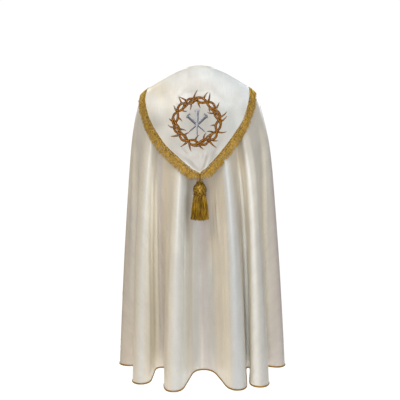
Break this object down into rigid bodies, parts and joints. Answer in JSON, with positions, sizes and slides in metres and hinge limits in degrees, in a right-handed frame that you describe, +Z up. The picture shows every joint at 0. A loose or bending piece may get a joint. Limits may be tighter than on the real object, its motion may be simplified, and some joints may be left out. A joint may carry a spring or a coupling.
{
  "type": "cope vestment",
  "caption": "Hollow worn half-circle cope in ivory satin with deep hem folds, a gold-fringed shield hood, a hanging tassel and a chest tab.",
  "frame": {"origin": "the middle of the neck's base, where the wearer's neck and shoulders hold the cope", "axes": "+Z up, the front opening faces -Y, the hood hangs on the +Y side, +X to the wearer's left"},
  "size_m": [0.7161, 0.5279, 1.2615],
  "materials": {
    "mantle_cloth": "ivory slubbed satin with a pearly sheen",
    "hood_cloth": "smooth white satin",
    "gold_fringe": "twisted gold rayon, glossy along the strands",
    "gold_piping": "gold piping, semi-gloss"
  },
  "bodies": {
    "root": {"mantle_back": "mantle_cloth", "mantle_left": "mantle_cloth", "mantle_right": "mantle_cloth", "mantle_left_front": "mantle_cloth", "mantle_right_front": "mantle_cloth", "neckband": "mantle_cloth", "morse": "mantle_cloth", "hood": "hood_cloth", "hood_fringe": "gold_fringe", "tassel": "gold_fringe", "tassel_cord": "gold_fringe", "hem_piping": "gold_piping", "front_piping_left": "gold_piping", "front_piping_right": "gold_piping"}
  },
  "joints": []
}
